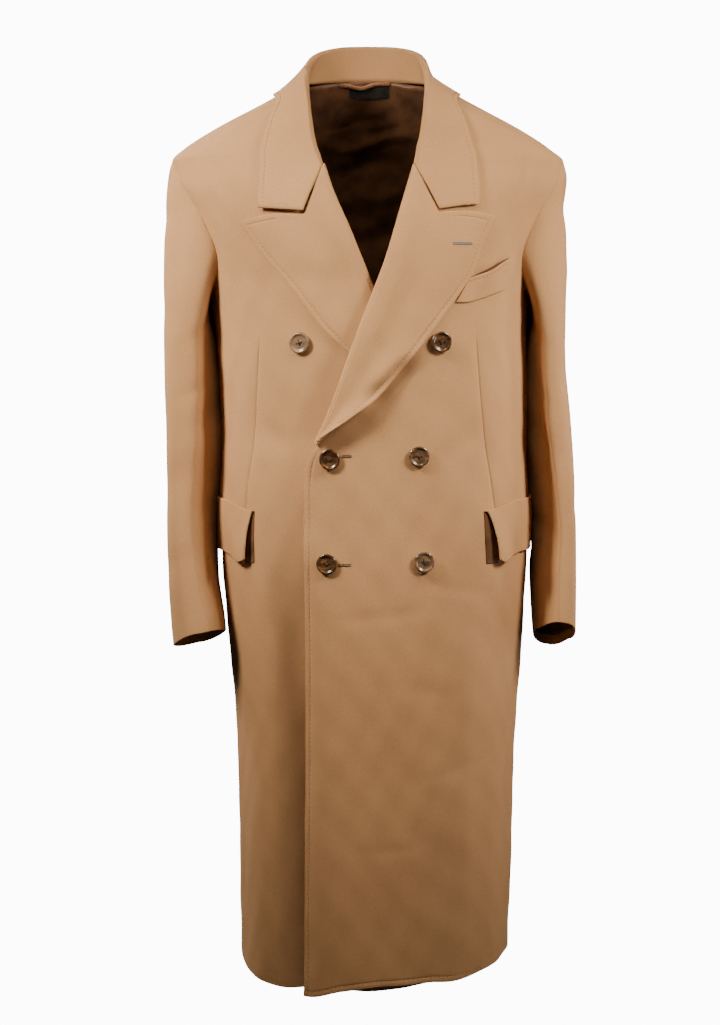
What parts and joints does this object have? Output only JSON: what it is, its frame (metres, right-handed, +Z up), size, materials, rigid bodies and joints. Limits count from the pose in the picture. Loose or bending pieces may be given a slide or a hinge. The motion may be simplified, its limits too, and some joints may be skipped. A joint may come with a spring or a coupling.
{
  "type": "overcoat",
  "caption": "Long double-breasted wool overcoat with peak lapels, a turned-down collar, hip flaps and a welted chest pocket, filled out hollow as if worn.",
  "frame": {"origin": "midway between the shoulders at the level of the neck, where the wearer's shoulders hold the coat up", "axes": "+Z up, +X towards the wearer's left, -Y out of the coat's front"},
  "size_m": [0.5612, 0.3694, 1.281],
  "materials": {
    "wool": "brushed camel melton with a short nap",
    "lining": "dark brown satin",
    "loop": "copper-coloured satin",
    "label": "plain black woven label",
    "button": "polished mottled brown horn"
  },
  "bodies": {
    "root": {"front_left": "wool", "front_right": "wool", "back_left": "wool", "back_right": "wool", "lapel_left": "wool", "lapel_right": "wool", "collar": "wool", "top_sleeve_left": "wool", "top_sleeve_left_lower": "wool", "top_sleeve_right": "wool", "under_sleeve_left": "wool", "under_sleeve_right": "wool", "sleeve_lining_left": "lining", "sleeve_lining_right": "lining", "back_lining": "lining", "hanger_loop": "loop", "neck_label": "label", "pocket_flap_left": "wool", "pocket_flap_right": "wool", "chest_welt": "wool", "button_top_left": "button", "button_top_right": "button", "button_middle_left": "button", "button_middle_right": "button", "button_bottom_left": "button", "button_bottom_right": "button"}
  },
  "joints": []
}
